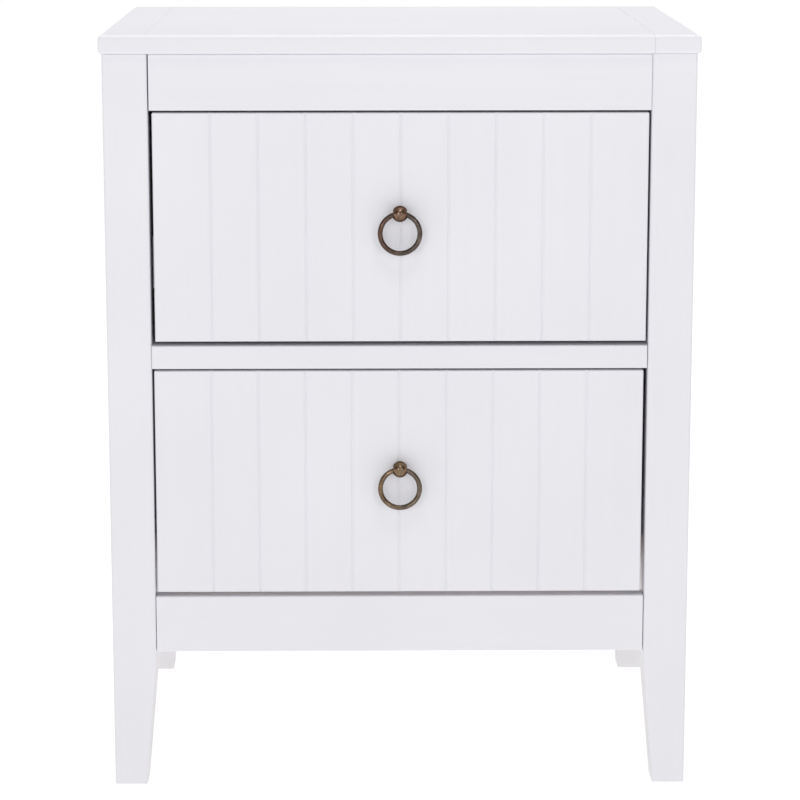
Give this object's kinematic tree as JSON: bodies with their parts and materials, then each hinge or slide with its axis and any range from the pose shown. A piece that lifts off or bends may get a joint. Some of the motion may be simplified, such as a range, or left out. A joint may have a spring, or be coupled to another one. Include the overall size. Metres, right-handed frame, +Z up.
{
  "type": "nightstand with drawers",
  "caption": "White painted nightstand on tapered legs, with a breadboard slab top and inset beaded drawers on ball slides, each with a hanging ring pull.",
  "frame": {"origin": "on the floor at the centre of the box round the whole nightstand, pulls included", "axes": "+Z up, +X to the right of somebody facing the drawers, the drawers face and open towards -Y"},
  "size_m": [0.508, 0.3908, 0.66],
  "materials": {
    "white_paint": "sprayed satin white lacquer over wood, with faint grain and brush telegraphing",
    "drawer_wood": "clear-sealed light hardwood, fine straight grain",
    "plywood": "thin clear-sealed plywood",
    "zinc_steel": "zinc plated, satin",
    "aged_bronze": "dark reddish bronze patina, rubbed lighter on the high spots",
    "antique_brass": "antique brass, brown patina rubbed lighter on the high spots"
  },
  "bodies": {
    "frame": {"top_panel": "white_paint", "top_breadboard_left": "white_paint", "top_breadboard_right": "white_paint", "leg_front_left": "white_paint", "leg_front_right": "white_paint", "leg_back_left": "white_paint", "leg_back_right": "white_paint", "front_rail_top": "white_paint", "front_rail_middle": "white_paint", "front_rail_bottom": "white_paint", "back_rail_top": "white_paint", "back_rail_bottom": "white_paint", "side_rail_top_left": "white_paint", "side_rail_top_right": "white_paint", "side_rail_bottom_left": "white_paint", "side_rail_bottom_right": "white_paint", "side_panel_left": "white_paint", "side_panel_right": "white_paint", "back_panel": "white_paint", "top_cleat_left": "drawer_wood", "top_cleat_right": "drawer_wood", "slide_cleat_lower_left": "drawer_wood", "slide_cleat_lower_right": "drawer_wood", "slide_cabinet_lower_left": "zinc_steel", "slide_cabinet_lower_right": "zinc_steel", "slide_cleat_upper_left": "drawer_wood", "slide_cleat_upper_right": "drawer_wood", "slide_cabinet_upper_left": "zinc_steel", "slide_cabinet_upper_right": "zinc_steel"},
    "drawer_lower": {"drawer_front_lower": "white_paint", "drawer_side_lower_left": "drawer_wood", "drawer_side_lower_right": "drawer_wood", "drawer_subfront_lower": "drawer_wood", "drawer_back_lower": "drawer_wood", "drawer_bottom_lower": "plywood", "slide_drawer_lower_left": "zinc_steel", "slide_drawer_lower_right": "zinc_steel", "pull_post_lower": "antique_brass", "pull_screw_lower": "zinc_steel"},
    "slides_lower": {"slide_middle_lower_left": "zinc_steel", "slide_middle_lower_right": "zinc_steel"},
    "ring_lower": {"pull_ring_lower": "antique_brass"},
    "drawer_upper": {"drawer_front_upper": "white_paint", "drawer_side_upper_left": "drawer_wood", "drawer_side_upper_right": "drawer_wood", "drawer_subfront_upper": "drawer_wood", "drawer_back_upper": "drawer_wood", "drawer_bottom_upper": "plywood", "slide_drawer_upper_left": "zinc_steel", "slide_drawer_upper_right": "zinc_steel", "pull_post_upper": "aged_bronze", "pull_screw_upper": "zinc_steel"},
    "slides_upper": {"slide_middle_upper_left": "zinc_steel", "slide_middle_upper_right": "zinc_steel"},
    "ring_upper": {"pull_ring_upper": "aged_bronze"}
  },
  "joints": [
    {"name": "drawer_lower_slide", "type": "slide", "parent": "frame", "child": "drawer_lower", "axis": [0, -1, 0], "range_m": [0, 0.29]},
    {"name": "slides_lower_travel", "type": "slide", "parent": "frame", "child": "slides_lower", "axis": [0, -1, 0], "range_m": [0, 0.145]},
    {"name": "ring_lower_hinge", "type": "hinge", "parent": "drawer_lower", "child": "ring_lower", "pos_m": [0, -0.1885, 0.28655], "axis": [-1, 0, 0], "range_deg": [-13, 100]},
    {"name": "drawer_upper_slide", "type": "slide", "parent": "frame", "child": "drawer_upper", "axis": [0, -1, 0], "range_m": [0, 0.29]},
    {"name": "slides_upper_travel", "type": "slide", "parent": "frame", "child": "slides_upper", "axis": [0, -1, 0], "range_m": [0, 0.145]},
    {"name": "ring_upper_hinge", "type": "hinge", "parent": "drawer_upper", "child": "ring_upper", "pos_m": [0, -0.1885, 0.50905], "axis": [-1, 0, 0], "range_deg": [-13, 100]}
  ],
  "couplings": [
    {"joint": "slides_lower_travel", "follows": "drawer_lower_slide", "ratio": 0.5},
    {"joint": "slides_upper_travel", "follows": "drawer_upper_slide", "ratio": 0.5}
  ]
}
